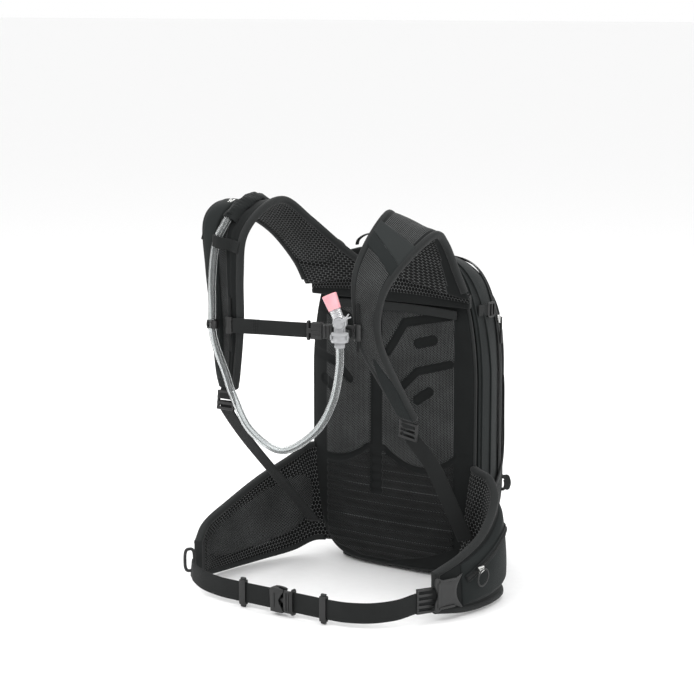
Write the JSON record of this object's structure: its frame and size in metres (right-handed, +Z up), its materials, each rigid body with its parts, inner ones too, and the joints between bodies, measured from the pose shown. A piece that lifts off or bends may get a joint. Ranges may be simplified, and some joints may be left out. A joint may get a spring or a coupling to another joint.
{
  "type": "hydration pack",
  "caption": "Small backpack with padded mesh harness, hip belt, sternum strap and a drinking hose that runs from an inner reservoir to a bite valve.",
  "frame": {"origin": "on the ground under the middle of the pack", "axes": "+Z up, -Y towards the wearer, +X to the right as one looks at the harness"},
  "size_m": [0.3834, 0.4245, 0.4992],
  "materials": {
    "pack_cloth": "matte",
    "stretch_cloth": "matte",
    "spacer_mesh": "matte",
    "webbing": "matte",
    "buckle_plastic": "satin",
    "stiffener": "matte",
    "bladder_film": "satin",
    "hose_clear": "gloss",
    "valve_clear": "gloss",
    "valve_silicone": "satin",
    "zip_metal": "gloss"
  },
  "bodies": {
    "pack": {"back_panel": "spacer_mesh", "bag_shell": "pack_cloth", "base_panel": "pack_cloth", "compression_hook_left": "buckle_plastic", "compression_hook_right": "buckle_plastic", "frame_sheet": "stiffener", "front_pocket": "stretch_cloth", "hip_adjuster_right": "buckle_plastic", "hip_buckle_socket": "buckle_plastic", "hip_loop_left": "buckle_plastic", "hip_plate_right": "buckle_plastic", "hip_pocket_left": "pack_cloth", "hip_pocket_right": "pack_cloth", "hip_webbing_left": "webbing", "hip_webbing_right": "webbing", "hip_wing_left": "spacer_mesh", "hip_wing_right": "spacer_mesh", "hose": "hose_clear", "hose_connector": "buckle_plastic", "hose_hidden": "hose_clear", "hose_keeper": "webbing", "hose_sleeve": "stretch_cloth", "ladder_lock_left": "buckle_plastic", "ladder_lock_right": "buckle_plastic", "light_tab": "webbing", "main_zip": "webbing", "reservoir_bladder": "bladder_film", "reservoir_sleeve": "pack_cloth", "shoulder_strap_left": "spacer_mesh", "shoulder_strap_right": "spacer_mesh", "side_pocket_left": "stretch_cloth", "side_pocket_right": "stretch_cloth", "sternum_rail_left": "webbing", "sternum_rail_right": "webbing", "strap_webbing_left": "webbing", "strap_webbing_right": "webbing", "yoke": "spacer_mesh"},
    "sternum_strap": {"sternum_slider_left": "buckle_plastic", "sternum_slider_right": "buckle_plastic", "hose_clip": "buckle_plastic", "sternum_webbing_left": "webbing", "sternum_buckle_plug": "buckle_plastic", "valve_body": "valve_clear", "valve_mouthpiece": "valve_silicone"},
    "sternum_socket": {"sternum_buckle_socket": "buckle_plastic"},
    "valve_lever": {"valve_lever": "valve_clear"},
    "hip_plug": {"hip_buckle_plug": "buckle_plastic"},
    "hip_prong_upper": {"hip_prong_upper": "buckle_plastic"},
    "hip_prong_lower": {"hip_prong_lower": "buckle_plastic"},
    "hip_keeper_left": {"hip_keeper_left": "buckle_plastic"},
    "hip_keeper_right": {"hip_keeper_right": "buckle_plastic"},
    "main_slider_right": {"main_zip_slider_right": "zip_metal"},
    "main_pull_right": {"main_zip_pull_right": "buckle_plastic"},
    "main_slider_left": {"main_zip_slider_left": "zip_metal"},
    "front_slider": {"front_zip_slider": "buckle_plastic"},
    "hip_slider_right": {"hip_zip_slider_right": "zip_metal"},
    "hip_pull_right": {"hip_zip_pull_right": "buckle_plastic"},
    "strap_slider": {"strap_zip_slider": "zip_metal"},
    "haul_loop": {"haul_loop": "webbing"},
    "reservoir_cap": {"reservoir_cap": "buckle_plastic"}
  },
  "joints": [
    {"name": "sternum_height", "type": "slide", "parent": "pack", "child": "sternum_strap", "axis": [0, 0, 1], "range_m": [-0.012, 0.012], "deforming": ["hose"]},
    {"name": "sternum_buckle_release", "type": "slide", "parent": "sternum_strap", "child": "sternum_socket", "axis": [-0.9672, -0.2539, 0], "range_m": [0, 0.015], "deforming": ["sternum_webbing_left"]},
    {"name": "valve_shutoff", "type": "hinge", "parent": "sternum_strap", "child": "valve_lever", "pos_m": [0.0577, -0.2735, 0.3545], "axis": [0.4, -0.9165, 0], "range_deg": [-80, 0]},
    {"name": "hip_buckle_release", "type": "slide", "parent": "pack", "child": "hip_plug", "axis": [1, 0, 0], "range_m": [0, 0.025], "deforming": ["hip_webbing_right"]},
    {"name": "hip_prong_upper_flex", "type": "hinge", "parent": "hip_plug", "child": "hip_prong_upper", "pos_m": [0.0065, -0.3165, 0.0285], "axis": [0, -1, 0], "range_deg": [0, 6], "stiffness_Nm_per_rad": 0.05},
    {"name": "hip_prong_lower_flex", "type": "hinge", "parent": "hip_plug", "child": "hip_prong_lower", "pos_m": [0.0065, -0.3165, 0.0075], "axis": [0, 1, 0], "range_deg": [0, 6], "stiffness_Nm_per_rad": 0.05},
    {"name": "hip_keeper_left_slide", "type": "slide", "parent": "pack", "child": "hip_keeper_left", "axis": [1, 0, 0], "range_m": [-0.01, 0.01]},
    {"name": "hip_keeper_right_slide", "type": "slide", "parent": "pack", "child": "hip_keeper_right", "axis": [1, 0, 0], "range_m": [-0.01, 0.006]},
    {"name": "main_zip_right_slide", "type": "slide", "parent": "pack", "child": "main_slider_right", "axis": [0.19, 0, -0.9818], "range_m": [0, 0.04]},
    {"name": "main_zip_pull_swing", "type": "hinge", "parent": "main_slider_right", "child": "main_pull_right", "pos_m": [0.1131, 0.00382, 0.33051], "axis": [0.3472, -0.9378, 0], "range_deg": [0, 75]},
    {"name": "main_zip_left_slide", "type": "slide", "parent": "pack", "child": "main_slider_left", "axis": [-0.19, 0, -0.9818], "range_m": [0, 0.04]},
    {"name": "front_zip_slide", "type": "slide", "parent": "pack", "child": "front_slider", "axis": [1, 0, 0], "range_m": [-0.02, 0.02]},
    {"name": "hip_zip_right_slide", "type": "slide", "parent": "pack", "child": "hip_slider_right", "axis": [0.1548, 0.9679, 0.198], "range_m": [-0.006, 0.01]},
    {"name": "hip_zip_pull_swing", "type": "hinge", "parent": "hip_slider_right", "child": "hip_pull_right", "pos_m": [0.19796, -0.17466, 0.0547], "axis": [-0.1749, -0.9846, 0], "range_deg": [0, 75]},
    {"name": "strap_zip_slide", "type": "slide", "parent": "pack", "child": "strap_slider", "axis": [0, -0.9433, -0.332], "range_m": [0, 0.01]},
    {"name": "haul_loop_swing", "type": "hinge", "parent": "pack", "child": "haul_loop", "pos_m": [-0.01, -0.076, 0.4195], "axis": [1, 0, 0], "range_deg": [-70, 70]},
    {"name": "reservoir_cap_turn", "type": "hinge", "parent": "pack", "child": "reservoir_cap", "pos_m": [0, -0.019, 0.275], "axis": [0, 1, 0], "range_deg": [0, 180]}
  ],
  "couplings": [
    {"joint": "hip_prong_lower_flex", "follows": "hip_prong_upper_flex", "ratio": 1}
  ]
}
